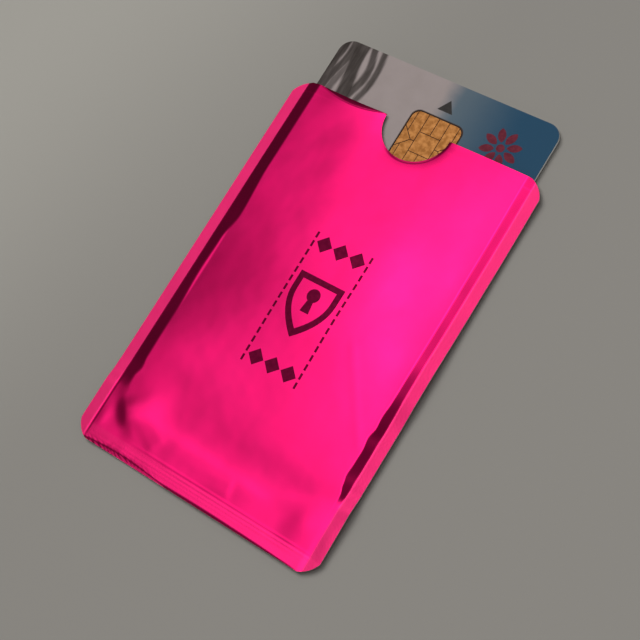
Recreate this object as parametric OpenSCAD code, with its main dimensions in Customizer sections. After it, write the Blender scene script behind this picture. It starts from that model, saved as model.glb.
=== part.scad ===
// Card sleeve of foil film, heat sealed on three sides, with a smart card half pulled out of it.
// The origin is at the centre of the sleeve's underside. +X runs across the sleeve, +Y to its
// open mouth and +Z up from the table to its front.

/* [Card] */
// Length of the card
card_l = 85.6; // [70:0.1:110]
// Width of the card
card_w = 53.98; // [44:0.02:70]
// Radius of the card's corners
card_corner_r = 3.18; // [1:0.01:6]
// Thickness of the clear overlay on each face of the card
overlay_t = 0.05; // [0.04:0.01:0.1]
// Thickness of each printed core sheet of the card
core_t = 0.28; // [0.24:0.01:0.4]
// Thickness of the sheet in the middle of the card that carries the antenna
inlay_t = 0.1; // [0.08:0.01:0.2]
// How far the card stands out of the sleeve's mouth
card_show = 12.4; // [0:0.1:40]

/* [Sleeve] */
// Width of the heat seal down each side
side_seal_w = 2.55; // [1.5:0.05:6]
// Width of the heat seal across the bottom
bottom_seal_w = 3.6; // [2:0.1:8]
// How much wider than the card the pocket is
side_play = 2.42; // [1.8:0.02:8]
// Gap between the card's right edge and the right seal
card_side_gap = 0.6; // [0.4:0.05:0.9]
// Gap between the bottom seal and a card that is pushed right in
end_gap = 0.6; // [0.4:0.05:3]
// Depth below the mouth of a card that is pushed right in
mouth_gap = 0.2; // [0:0.05:3]
// Length that each corner of the sleeve is cut back along both edges
corner_cut = 3.4; // [2:0.1:5]
// How far the cut corner bows out from a straight cut
corner_bow = 0.5; // [0.2:0.05:0.55]
// Radius of the thumb notch in the mouth
notch_r = 7.75; // [4:0.25:12]
// How far the front of the pocket crowns up in the middle
crown = 0.6; // [0.2:0.05:3]

/* [Sheet] */
// Thickness of the coloured outer film
film_t = 0.05; // [0.03:0.01:0.15]
// Thickness of the metal foil
foil_t = 0.05; // [0.03:0.01:0.15]
// Thickness of the inner liner
liner_t = 0.05; // [0.03:0.01:0.15]
// Thickness of the melted weld between the two liners
seal_t = 0.1; // [0.05:0.01:0.2]
// Thickness of the printed ink
ink_t = 0.02; // [0.01:0.01:0.05]

/* [Clearances] */
// Air between the card and the back of the pocket
card_under_gap = 0.1; // [0.05:0.01:0.5]
// Height of the pocket's roof over the card's face where the crown starts
roof_gap = 0.2; // [0.15:0.01:1]
// Height of the sloping side of the pocket over the card's edge
edge_gap = 0.12; // [0.08:0.01:0.14]
// Gap round the chip module in its recess
module_gap = 0.15; // [0.05:0.01:0.2]
// Gap round the resin cap and the antenna posts inside the card
pocket_gap = 0.15; // [0.05:0.01:0.2]

/* [Sleeve print] */
// Place of the printed ornament across the sleeve
print_x = 0.7; // [-5:0.1:5]
// Place of the printed ornament along the sleeve
print_y = 0.3; // [-10:0.1:10]
// Half the width of the printed shield
shield_half_w = 5.5; // [4:0.1:5.6]
// Height of the shield above its shoulders' line
shield_top_h = 3.8; // [2:0.1:4]
// Height of the shield below its shoulders' line
shield_low_h = 9.6; // [6:0.1:10]
// Width of the shield's outline
shield_stroke = 1.3; // [0.6:0.1:1.6]
// Radius of the round part of the keyhole
keyhole_r = 1.5; // [0.8:0.05:1.6]
// Width of the keyhole's slot at its top
keyhole_neck_w = 1.0; // [0.5:0.1:1.4]
// Width of the keyhole's slot at its foot
keyhole_foot_w = 2.1; // [1:0.1:2.4]
// Distance from the middle of the keyhole's round part down to its foot
keyhole_drop = 3.9; // [2:0.1:4]
// Half the diagonal of a printed diamond
diamond_r = 1.9; // [0.8:0.1:1.9]
// Distance from the shield's middle to each row of diamonds
diamond_row_y = 13.4; // [12.5:0.1:14]
// Distance between the diamonds of a row
diamond_pitch = 4.1; // [4:0.1:4.2]
// Distance from the ornament's middle to each fine dashed line
dash_line_x = 6.7; // [6.5:0.1:8]
// Length of a printed dash
dash_l = 1.4; // [0.6:0.1:1.6]
// Width of a printed dash
dash_w = 0.5; // [0.3:0.05:0.7]
// Distance from one dash to the next
dash_pitch = 2.1; // [2:0.1:3]
// Number of dashes in a line
dash_count = 15; // [8:1:15]

/* [Chip] */
// Distance of the chip module's middle from the card's chip-side short edge
chip_from_top = 15.15; // [13:0.05:16]
// Distance of the chip module's middle from the card's right edge
chip_from_right = 24.65; // [22:0.05:27]
// Width of the contact plate, across the card
plate_w = 11.9; // [11.5:0.1:15]
// Height of the contact plate, along the card
plate_h = 13.1; // [11:0.1:16]
// Radius of the contact plate's corners
plate_r = 1.8; // [1:0.1:2.2]
// Thickness of the gold contacts
pad_t = 0.035; // [0.02:0.005:0.05]
// Width of the grooves between the contacts
groove_w = 0.17; // [0.1:0.01:0.3]
// Distance between the upright grooves
groove_pitch = 2.5; // [2.2:0.02:2.6]
// Distance from an outer upright groove to the point where the two slanted grooves meet
elbow_reach = 0.9; // [0.6:0.05:1.2]
// Half the height of the middle contact
middle_half_h = 2.35; // [2:0.05:2.8]
// Distance from the middle of the plate to the thin outer strips
strip_x = 5.0; // [4.6:0.05:5.2]
// Thickness of the epoxy carrier under the contacts
carrier_t = 0.12; // [0.08:0.01:0.16]
// Side of the silicon die
die_w = 3.2; // [2:0.1:4]
// Thickness of the silicon die
die_t = 0.18; // [0.1:0.01:0.2]
// Radius of the resin cap over the die
resin_r = 3.5; // [3:0.1:3.6]
// Thickness of the resin cap
resin_t = 0.32; // [0.24:0.01:0.4]
// Radius of the resin cap's flat top
resin_top_r = 2.6; // [2.3:0.1:3]

/* [Antenna] */
// Number of turns of the antenna
turns = 5; // [2:1:6]
// Distance from the card's edge to the first turn
coil_inset = 2.6; // [2:0.1:3]
// Distance from one turn to the next
coil_pitch = 0.7; // [0.6:0.05:0.75]
// Width of the antenna's track
track_w = 0.35; // [0.2:0.05:0.4]
// Thickness of the antenna's track
track_t = 0.03; // [0.02:0.005:0.03]
// Gap between the resin cap's pocket and each antenna pad
pad_gap = 0.7; // [0.2:0.05:0.8]
// Side of the square pads at the antenna's ends
end_pad_w = 1.1; // [1:0.05:1.2]
// Radius of the conductive posts between the antenna and the chip
post_r = 0.4; // [0.3:0.05:0.45]

/* [Card face and back] */
// Distance of the round ornament's middle from the chip-side short edge
rosette_from_top = 9.1; // [6:0.1:12]
// Distance of the round ornament's middle from the card's right edge
rosette_from_right = 9.8; // [7:0.1:12]
// Radius at which the ornament's petals end
rosette_r = 4.55; // [3.5:0.05:5]
// Radius of the ornament's middle disc
rosette_disc_r = 0.9; // [0.5:0.05:1.1]
// Radius at which the petals start
petal_start_r = 1.3; // [1.2:0.05:1.6]
// Width of a petal at its widest
petal_w = 1.7; // [0.8:0.05:1.8]
// Number of petals
petals = 8; // [5:1:8]
// Distance of the arrow's tip from the chip-side short edge
arrow_from_top = 3.9; // [3:0.1:4.5]
// Height of the insertion arrow
arrow_h = 2.8; // [2:0.1:3.2]
// Half the width of the insertion arrow
arrow_half_w = 1.78; // [1:0.02:2.2]
// Distance of the magnetic stripe from the card's right edge
stripe_from_right = 5.54; // [4:0.02:6]
// Width of the magnetic stripe
stripe_w = 10.28; // [8:0.02:12.7]
// Width of the signature panel
sign_w = 9.6; // [6:0.1:10]
// Length of the signature panel
sign_l = 60; // [40:0.5:66]
// Gap between the magnetic stripe and the signature panel
sign_gap = 4.2; // [3:0.1:6]
// Thickness of the stripe and of the signature panel
strip_t = 0.02; // [0.01:0.005:0.03]

/* [Hidden] */

// Extra reach of every cutter past the face that it cuts
reach = 0.5;
corner_steps = 6;
crown_steps = 12;
shield_steps = 10;

// The shield's outline is this many strokes thick at its point, where two slanting sides meet
point_share = 1.5;

// The pocket is the card with its play, and the sleeve is the pocket with its seals
pocket_half_w = (card_w + side_play) / 2;
half_w = pocket_half_w + side_seal_w;
half_l = (bottom_seal_w + end_gap + card_l + mouth_gap) / 2;
mouth_y = half_l;
seal_y = -half_l + bottom_seal_w;

// Heights of the stack at the seals, from the table up
sheet_t = film_t + foil_t + liner_t;
seal_top_z = sheet_t + seal_t;

// The card's place and the heights of its layers
card_right_x = pocket_half_w - card_side_gap;
card_x = card_right_x - card_w / 2;
card_left_x = card_right_x - card_w;
card_top_y = mouth_y + card_show;
card_y = card_top_y - card_l / 2;
card_z = sheet_t + card_under_gap;
back_core_z = card_z + overlay_t;
inlay_z = back_core_z + core_t;
front_core_z = inlay_z + inlay_t;
front_overlay_z = front_core_z + core_t;
card_top_z = front_overlay_z + overlay_t;

// The roof of the pocket: each side climbs from its seal, clears the card's edge and then crowns
roof_edge_z = card_top_z + roof_gap;
climb = card_top_z + edge_gap - seal_top_z;
right_slope = climb / card_side_gap;
left_slope = climb / (side_play - card_side_gap);
bottom_slope = climb / end_gap;
roof_right_x = pocket_half_w - (roof_edge_z - seal_top_z) / right_slope;
roof_left_x = -pocket_half_w + (roof_edge_z - seal_top_z) / left_slope;
roof_high_z = roof_edge_z + crown + 1;

// The chip module hangs from the card's face
chip_x = card_right_x - chip_from_right;
chip_y = card_top_y - chip_from_top;
carrier_z = card_top_z - pad_t - carrier_t;
track_z = front_core_z - track_t;
pad_reach = resin_r + pocket_gap + pad_gap + end_pad_w / 2;

// A cut corner is an arc over the chord between the ends of the cut
corner_chord = corner_cut * sqrt(2);
corner_r = (corner_chord * corner_chord / 4 + corner_bow * corner_bow) / (2 * corner_bow);
corner_half_angle = asin(corner_chord / (2 * corner_r));

function corner_point(turn, step) =
    let (
        side = [turn == 0 || turn == 3 ? 1 : -1, turn < 2 ? 1 : -1],
        out = 45 + 90 * turn,
        middle = [side[0] * (half_w - corner_cut / 2), side[1] * (half_l - corner_cut / 2)],
        centre = middle + (corner_bow - corner_r) * [cos(out), sin(out)],
        angle = out - corner_half_angle + 2 * corner_half_angle * step / corner_steps
    )
    centre + corner_r * [cos(angle), sin(angle)];

function crown_z(share) = roof_edge_z + crown * (1 - pow(2 * share - 1, 2));

// Outline of the sleeve, with the thumb notch cut from its mouth
module sleeve_outline() {
    difference() {
        polygon([for (turn = [0:3], step = [0:corner_steps]) corner_point(turn, step)]);
        translate([0, mouth_y]) circle(r = notch_r, $fn = 96);
    }
}

// Everything below the roof of the pocket, with the roof lifted by the given height
module under_roof(lift) {
    across = half_w + reach;
    along = half_l + reach;
    intersection() {
        rotate([90, 0, 0])
            translate([0, 0, -along])
                linear_extrude(2 * along)
                    polygon(concat(
                        [[-across, -reach], [-across, seal_top_z + lift], [-pocket_half_w, seal_top_z + lift]],
                        [for (i = [0:crown_steps])
                            let (share = i / crown_steps)
                            [roof_left_x + share * (roof_right_x - roof_left_x), crown_z(share) + lift]],
                        [[pocket_half_w, seal_top_z + lift], [across, seal_top_z + lift], [across, -reach]]
                    ));
        rotate([90, 0, 90])
            translate([0, 0, -across])
                linear_extrude(2 * across)
                    polygon([
                        [-along, -reach],
                        [-along, seal_top_z + lift],
                        [seal_y, seal_top_z + lift],
                        [seal_y + (roof_high_z - seal_top_z) / bottom_slope, roof_high_z + lift],
                        [along, roof_high_z + lift],
                        [along, -reach]
                    ]);
    }
}

// One layer of the front, from one height over the roof to another, inside a flat outline
module roof_layer(low, high) {
    intersection() {
        difference() {
            under_roof(high);
            under_roof(low);
        }
        linear_extrude(roof_high_z) children();
    }
}

module back_layer(low, thickness) {
    translate([0, 0, low]) linear_extrude(thickness) sleeve_outline();
}

module front_liner() {
    color("silver") roof_layer(0, liner_t) sleeve_outline();
}

module front_foil() {
    color("gainsboro") roof_layer(liner_t, liner_t + foil_t) sleeve_outline();
}

module front_film() {
    color("deeppink") roof_layer(liner_t + foil_t, sheet_t) sleeve_outline();
}

module back_film() {
    color("deeppink") back_layer(0, film_t);
}

module back_foil() {
    color("gainsboro") back_layer(film_t, foil_t);
}

module back_liner() {
    color("silver") back_layer(film_t + foil_t, liner_t);
}

// A weld between the two liners, over the given rectangle of the sleeve's outline
module weld(low, high) {
    translate([0, 0, sheet_t])
        linear_extrude(seal_t)
            intersection() {
                sleeve_outline();
                translate(low) square(high - low);
            }
}

module left_seal() {
    color("hotpink") weld([-half_w - reach, -half_l - reach], [-pocket_half_w, half_l + reach]);
}

module right_seal() {
    color("hotpink") weld([pocket_half_w, -half_l - reach], [half_w + reach, half_l + reach]);
}

module bottom_seal() {
    color("hotpink") weld([-pocket_half_w, -half_l - reach], [pocket_half_w, seal_y]);
}

// A shield with a flat top whose sides curve down to a point, and the same drawn in by a stroke
module shield_shape(stroke) {
    half = shield_half_w - stroke;
    high = shield_top_h - stroke;
    low = shield_low_h - point_share * stroke;
    polygon(concat(
        [[-half, high], [half, high]],
        [for (i = [-shield_steps:shield_steps])
            let (share = i / shield_steps)
            [-sign(share) * half * (1 - pow(1 - abs(share), 2)), -low * (1 - abs(share))]]
    ));
}

module keyhole_shape() {
    circle(r = keyhole_r, $fn = 32);
    polygon([
        [-keyhole_neck_w / 2, 0],
        [keyhole_neck_w / 2, 0],
        [keyhole_foot_w / 2, -keyhole_drop],
        [-keyhole_foot_w / 2, -keyhole_drop]
    ]);
}

// Shield with a keyhole, and a row of diamonds above and below it
module shield_print() {
    color("maroon") roof_layer(sheet_t, sheet_t + ink_t) translate([print_x, print_y]) {
        shield_drop = (shield_low_h - shield_top_h) / 2;
        translate([0, shield_drop]) {
            difference() {
                shield_shape(0);
                shield_shape(shield_stroke);
            }
            keyhole_shape();
        }
        for (row = [-1, 1], place = [-1:1])
            translate([place * diamond_pitch, row * diamond_row_y])
                rotate(45) square(diamond_r * sqrt(2), center = true);
    }
}

// A fine dashed line down each side of the ornament
module dash_print() {
    color("maroon") roof_layer(sheet_t, sheet_t + ink_t) translate([print_x, print_y])
        for (side = [-1, 1], i = [0:dash_count - 1])
            translate([side * dash_line_x, (i - (dash_count - 1) / 2) * dash_pitch])
                square([dash_w, dash_l], center = true);
}

// A rectangle with true round corners
module round_plate(width, length, radius) {
    square([width - 2 * radius, length], center = true);
    square([width, length - 2 * radius], center = true);
    for (side = [-1, 1], end = [-1, 1])
        translate([side * (width / 2 - radius), end * (length / 2 - radius)])
            circle(r = radius, $fn = 48);
}

module card_layer(low, thickness) {
    translate([card_x, card_y, low])
        linear_extrude(thickness)
            round_plate(card_w, card_l, card_corner_r);
}

// The stepped recess that is milled into the card for the chip module
module chip_recess() {
    translate([chip_x, chip_y, carrier_z])
        linear_extrude(card_top_z - carrier_z + reach)
            round_plate(plate_w + 2 * module_gap, plate_h + 2 * module_gap, plate_r + module_gap);
    translate([chip_x, chip_y, carrier_z - resin_t - pocket_gap])
        cylinder(r = resin_r + pocket_gap, h = resin_t + pocket_gap + reach, $fn = 64);
    for (side = [-1, 1])
        translate([chip_x + side * pad_reach, chip_y, front_core_z])
            cylinder(r = post_r + pocket_gap, h = carrier_z - front_core_z + reach, $fn = 32);
}

module card_front_overlay() {
    color("lightgray") difference() {
        card_layer(front_overlay_z, overlay_t);
        chip_recess();
    }
}

module card_front_core() {
    color("white") difference() {
        card_layer(front_core_z, core_t);
        chip_recess();
    }
}

module card_back_core() {
    color("white") difference() {
        card_layer(back_core_z, core_t);
        chip_recess();
    }
}

// A straight track from one point to another, along X or along Y
module track(from, to) {
    low = [min(from[0], to[0]), min(from[1], to[1])];
    high = [max(from[0], to[0]), max(from[1], to[1])];
    translate(low - [track_w, track_w] / 2) square(high - low + [track_w, track_w]);
}

function inset(turn) = coil_inset + turn * coil_pitch;

// Corners of one turn, clockwise from the card's top right
function turn_corners(turn) = [
    [card_right_x - inset(turn), card_top_y - inset(turn)],
    [card_right_x - inset(turn), card_top_y - card_l + inset(turn)],
    [card_left_x + inset(turn), card_top_y - card_l + inset(turn)],
    [card_left_x + inset(turn), card_top_y - inset(turn + 1)]
];

coil_start = [chip_x + pad_reach, card_top_y - inset(0)];
coil_end = [chip_x - pad_reach, card_top_y - inset(turns)];
bridge_end = [coil_start[0], card_top_y - inset(turns + 1)];
coil_route = concat(
    [coil_start],
    [for (turn = [0:turns - 1]) each turn_corners(turn)],
    [coil_end, [coil_end[0], chip_y]]
);

// The antenna's flat pattern: one unbroken spiral, and the short lead back from the bridge
module coil_shape() {
    for (i = [1:len(coil_route) - 1]) track(coil_route[i - 1], coil_route[i]);
    track(bridge_end, [bridge_end[0], chip_y]);
    for (side = [-1, 1])
        translate([chip_x + side * pad_reach, chip_y]) square(end_pad_w, center = true);
}

module antenna_coil() {
    color("peru") translate([0, 0, track_z]) linear_extrude(track_t) coil_shape();
}

// The strip that carries the antenna's outer end back under the turns, with a stud at each end
module antenna_bridge() {
    color("peru") {
        translate([0, 0, inlay_z]) linear_extrude(track_t) track(coil_start, bridge_end);
        for (end = [coil_start, bridge_end])
            translate([end[0], end[1], inlay_z])
                linear_extrude(track_z - inlay_z) square(track_w, center = true);
    }
}

module antenna_inlay() {
    color("whitesmoke") difference() {
        card_layer(inlay_z, inlay_t);
        chip_recess();
        translate([0, 0, track_z]) linear_extrude(track_t + reach) coil_shape();
        translate([0, 0, inlay_z - reach]) linear_extrude(track_t + reach) track(coil_start, bridge_end);
        for (end = [coil_start, bridge_end])
            translate([end[0], end[1], inlay_z - reach])
                linear_extrude(inlay_t + reach) square(track_w, center = true);
    }
}

// A straight groove from one point to another
module groove(from, to) {
    run = to - from;
    translate(from)
        rotate(atan2(run[1], run[0]))
            translate([-groove_w / 2, -groove_w / 2])
                square([norm(run) + groove_w, groove_w]);
}

// The grooves that part the gold plate into its contacts, made alike in its four quarters
module groove_pattern() {
    elbow_x = groove_pitch + elbow_reach;
    past_side = plate_w / 2 + reach;
    past_end = plate_h / 2 + reach;
    for (x = [-1, 1], y = [-1, 1]) {
        groove([x * groove_pitch, 0], [x * groove_pitch, y * past_end]);
        groove([0, y * middle_half_h], [0, y * past_end]);
        groove([0, y * middle_half_h], [x * groove_pitch, y * middle_half_h]);
        groove([x * groove_pitch, 0], [x * elbow_x, 0]);
        groove([x * elbow_x, 0], [x * past_side, y * (past_side - elbow_x)]);
        groove([x * strip_x, y * (strip_x - elbow_x)], [x * strip_x, y * past_end]);
    }
}

module contact_pads() {
    color("goldenrod") translate([chip_x, chip_y, card_top_z - pad_t])
        linear_extrude(pad_t)
            difference() {
                round_plate(plate_w, plate_h, plate_r);
                groove_pattern();
            }
}

module chip_carrier() {
    color("saddlebrown") translate([chip_x, chip_y, carrier_z])
        linear_extrude(carrier_t)
            round_plate(plate_w, plate_h, plate_r);
}

module chip_die() {
    color("slategray") translate([chip_x - die_w / 2, chip_y - die_w / 2, carrier_z - die_t])
        cube([die_w, die_w, die_t]);
}

// Cap of resin that hangs under the carrier with the die inside it
module chip_resin() {
    color("dimgray") difference() {
        translate([chip_x, chip_y, carrier_z - resin_t])
            cylinder(r1 = resin_top_r, r2 = resin_r, h = resin_t, $fn = 64);
        translate([chip_x - die_w / 2, chip_y - die_w / 2, carrier_z - die_t])
            cube([die_w, die_w, die_t + reach]);
    }
}

module antenna_posts() {
    color("lightslategray") for (side = [-1, 1])
        translate([chip_x + side * pad_reach, chip_y, front_core_z])
            cylinder(r = post_r, h = carrier_z - front_core_z, $fn = 32);
}

module insert_arrow() {
    color("dimgray") translate([chip_x, card_top_y - arrow_from_top, card_top_z])
        linear_extrude(ink_t)
            polygon([[0, 0], [-arrow_half_w, -arrow_h], [arrow_half_w, -arrow_h]]);
}

// A lens between two arcs, from its inner tip at the origin out along X
module petal_shape() {
    length = rosette_r - petal_start_r;
    arc_r = (length * length / 4 + petal_w * petal_w / 4) / petal_w;
    intersection_for(side = [-1, 1])
        translate([length / 2, side * (arc_r - petal_w / 2)]) circle(r = arc_r, $fn = 96);
}

// A disc with a ring of petals
module rosette_print() {
    color("firebrick")
        translate([card_right_x - rosette_from_right, card_top_y - rosette_from_top, card_top_z])
            linear_extrude(ink_t) {
                circle(r = rosette_disc_r, $fn = 48);
                for (i = [0:petals - 1])
                    rotate((i + 0.5) * 360 / petals) translate([petal_start_r, 0]) petal_shape();
            }
}

module stripe_shape() {
    translate([card_right_x - stripe_from_right - stripe_w, card_top_y - card_l])
        square([stripe_w, card_l]);
}

module sign_shape() {
    translate([card_right_x - stripe_from_right - stripe_w - sign_gap - sign_w, card_y - sign_l / 2])
        square([sign_w, sign_l]);
}

module magnetic_stripe() {
    color("black") translate([0, 0, card_z]) linear_extrude(strip_t) stripe_shape();
}

module signature_panel() {
    color("white") translate([0, 0, card_z]) linear_extrude(strip_t) sign_shape();
}

module card_back_overlay() {
    color("lightgray") difference() {
        card_layer(card_z, overlay_t);
        translate([0, 0, card_z - reach]) linear_extrude(strip_t + reach) {
            stripe_shape();
            sign_shape();
        }
    }
}

front_film();
front_foil();
front_liner();
back_film();
back_foil();
back_liner();
left_seal();
right_seal();
bottom_seal();
shield_print();
dash_print();
card_front_overlay();
card_front_core();
antenna_inlay();
antenna_coil();
antenna_bridge();
card_back_core();
card_back_overlay();
contact_pads();
chip_carrier();
chip_die();
chip_resin();
antenna_posts();
insert_arrow();
rosette_print();
magnetic_stripe();
signature_panel();
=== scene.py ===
"""Looks for a heat-sealed foil card sleeve with a smart card drawn part-way out of it.

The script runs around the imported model. +X runs across the sleeve, +Y to its open mouth and +Z up
from the table. Shapes are worked out in millimetres and become metres when a mesh is made.
"""

import logging
import math
from collections.abc import Callable, Sequence
from dataclasses import dataclass
from enum import Enum

import bmesh
import bpy
import numpy as np
from mathutils import Matrix, Vector
from mathutils.geometry import delaunay_2d_cdt

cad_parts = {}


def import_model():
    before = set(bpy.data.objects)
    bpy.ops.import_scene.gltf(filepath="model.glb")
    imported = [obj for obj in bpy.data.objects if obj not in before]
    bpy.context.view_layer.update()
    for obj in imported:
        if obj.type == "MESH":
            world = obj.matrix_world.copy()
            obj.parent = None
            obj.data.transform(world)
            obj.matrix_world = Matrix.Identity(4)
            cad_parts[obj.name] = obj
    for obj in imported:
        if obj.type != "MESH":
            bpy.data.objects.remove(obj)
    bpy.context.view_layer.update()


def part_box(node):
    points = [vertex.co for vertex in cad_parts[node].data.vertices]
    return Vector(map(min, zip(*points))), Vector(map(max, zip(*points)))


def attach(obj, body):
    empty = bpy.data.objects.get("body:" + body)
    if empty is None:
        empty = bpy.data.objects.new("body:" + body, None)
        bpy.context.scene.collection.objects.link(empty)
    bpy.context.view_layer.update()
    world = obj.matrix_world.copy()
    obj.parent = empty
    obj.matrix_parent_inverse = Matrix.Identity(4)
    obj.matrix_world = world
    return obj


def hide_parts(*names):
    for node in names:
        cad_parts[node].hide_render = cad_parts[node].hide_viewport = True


LOG = logging.getLogger("card_sleeve")
MM = 0.001
# Points that are measured against a border at one time
BLOCK = 2000
# Metres within which corners of packed faces are one corner
SAME_PLACE = 1e-6
# Upward share of a normal that makes a packed face a top face
FACES_UP = 0.9
# Share that each finer layer of a noise keeps
NOISE_ROUGHNESS = 0.55
# Angle from straight overhead to the horizon, in degrees
TO_HORIZON = 90.0

Array = np.ndarray
Point = tuple[float, float]
Triple = tuple[float, float, float]
Height = Callable[[Array, Array], Array]
Material = bpy.types.Material
Node = bpy.types.Node
Piece = bpy.types.Object
Socket = bpy.types.NodeSocket


# Relief of the sheets


def smooth(share: Array) -> Array:
    """Smooth rise from 0 to 1 over a share, which is held between them first."""
    held = np.clip(share, 0, 1)
    return held * held * (3 - 2 * held)


def eased(low: float, high: float, value: Array) -> Array:
    """Smooth step of a value, from 0 at low to 1 at high."""
    return smooth((value - low) / (high - low))


def hump(along: Array, middle: float, half_length: float) -> Array:
    """Round rise from 0 at both ends of a stretch to 1 in its middle."""
    return np.clip(1 - ((along - middle) / half_length) ** 2, 0, None)


def lower_of(first: Array, second: Array, rounding: float) -> Array:
    """Lower of two heights, with the crease where they meet rounded.

    Args:
        first: One height.
        second: The other height.
        rounding: Height difference over which the crease is rounded.

    Returns:
        The lower height at each place.
    """
    share = np.clip(0.5 + 0.5 * (second - first) / rounding, 0, 1)
    return second * (1 - share) + first * share - rounding * share * (1 - share)


@dataclass(frozen=True)
class Swell:
    """An oval rise of the sheet, or a dent where its height is negative.

    The half widths reach to where the height has fallen to about a third.
    """

    middle: Point
    half_widths: Point
    height: float
    turn: float = 0.0

    def at(self, x: Array, y: Array) -> Array:
        """Height that the swell adds.

        Args:
            x: Places across the sleeve.
            y: Places along it.

        Returns:
            The height at each place.
        """
        angle = math.radians(self.turn)
        from_x = x - self.middle[0]
        from_y = y - self.middle[1]
        across = (from_x * math.cos(angle) + from_y * math.sin(angle)) / self.half_widths[0]
        along = (from_y * math.cos(angle) - from_x * math.sin(angle)) / self.half_widths[1]
        return self.height * np.exp(-(across**2 + along**2))


@dataclass(frozen=True)
class Crease:
    """A ridge along a straight run, or a groove where its height is negative.

    The left flank, seen along the run, may have a half width of its own.
    """

    start: Point
    end: Point
    half_width: float
    height: float
    fade: float = 1.0
    left_half_width: float = 0.0

    def at(self, x: Array, y: Array) -> Array:
        """Height that the crease adds.

        Args:
            x: Places across the sleeve.
            y: Places along it.

        Returns:
            The height at each place.
        """
        run = (self.end[0] - self.start[0], self.end[1] - self.start[1])
        length = math.hypot(*run)
        from_x = x - self.start[0]
        from_y = y - self.start[1]
        along = (from_x * run[0] + from_y * run[1]) / length
        aside = (from_y * run[0] - from_x * run[1]) / length
        width = np.where(aside > 0, self.left_half_width or self.half_width, self.half_width)
        begun = eased(-self.fade, self.fade, along)
        ended = eased(length - self.fade, length + self.fade, along)
        return self.height * np.exp(-((aside / width) ** 2)) * begun * (1 - ended)


@dataclass(frozen=True)
class Lip:
    """A stretch of a free edge that curls down, with its depth greatest in its middle."""

    middle: float
    half_length: float
    reach: float
    drop: float
    power: float = 1.12
    least: float = 0.05

    def at(self, along: Array, inward: Array) -> Array:
        """Height that the lip takes off.

        Args:
            along: Places along the edge.
            inward: Distances in from the edge.

        Returns:
            The height at each place, below zero.
        """
        swell = hump(along, self.middle, self.half_length)
        reach = self.reach * np.maximum(swell, self.least)
        return -self.drop * swell * np.clip(1 - np.maximum(inward, 0) / reach, 0, None) ** self.power


@dataclass(frozen=True)
class Crimp:
    """A run of small slanted puckers along a sealed edge."""

    middle: float
    half_length: float
    pitch: float
    reach: float
    height: float
    slant: float
    wander: float = 0.35
    wander_rate: float = 0.9

    def at(self, along: Array, inward: Array) -> Array:
        """Height that the puckers add.

        Args:
            along: Places along the edge.
            inward: Distances in from the edge.

        Returns:
            The height at each place.
        """
        swell = hump(along, self.middle, self.half_length)
        near = np.clip(1 - inward / self.reach, 0, None)
        wander = self.wander * np.sin(along * self.wander_rate)
        place = (along + self.slant * inward) / self.pitch + wander
        return self.height * swell * near * (0.5 * np.cos(2 * math.pi * place) - 0.5)


def through(knots: tuple[Point, ...], at: Array) -> Array:
    """Smooth curve through a few knots, level at each of them.

    Args:
        knots: Places in rising order, each with the curve's value there.
        at: Places to read the curve at.

    Returns:
        The curve's values.
    """
    places, values = np.array(knots, float).T
    after = np.clip(np.searchsorted(places, at), 1, len(places) - 1)
    share = smooth((at - places[after - 1]) / (places[after] - places[after - 1]))
    return values[after - 1] + share * (values[after] - values[after - 1])


@dataclass(frozen=True)
class Rib:
    """A section across the roof: its height at the left edge, and its slope at chosen places."""

    y: float
    edge: float
    slopes: tuple[Point, ...]

    def height(self, x: Array) -> Array:
        """Height along the section, from slopes that change evenly between their places.

        Args:
            x: Places across the sleeve.

        Returns:
            The height at each place.
        """
        places, slopes = np.array(self.slopes, float).T
        steps = np.diff(places)
        risen = np.concatenate([[0.0], np.cumsum(0.5 * (slopes[1:] + slopes[:-1]) * steps)])
        low = np.clip(np.searchsorted(places, x) - 1, 0, len(steps) - 1)
        past = np.clip(x, places[0], places[-1]) - places[low]
        rise = slopes[low] * past + 0.5 * (slopes[low + 1] - slopes[low]) * past**2 / steps[low]
        return self.edge + risen[low] + rise


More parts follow.
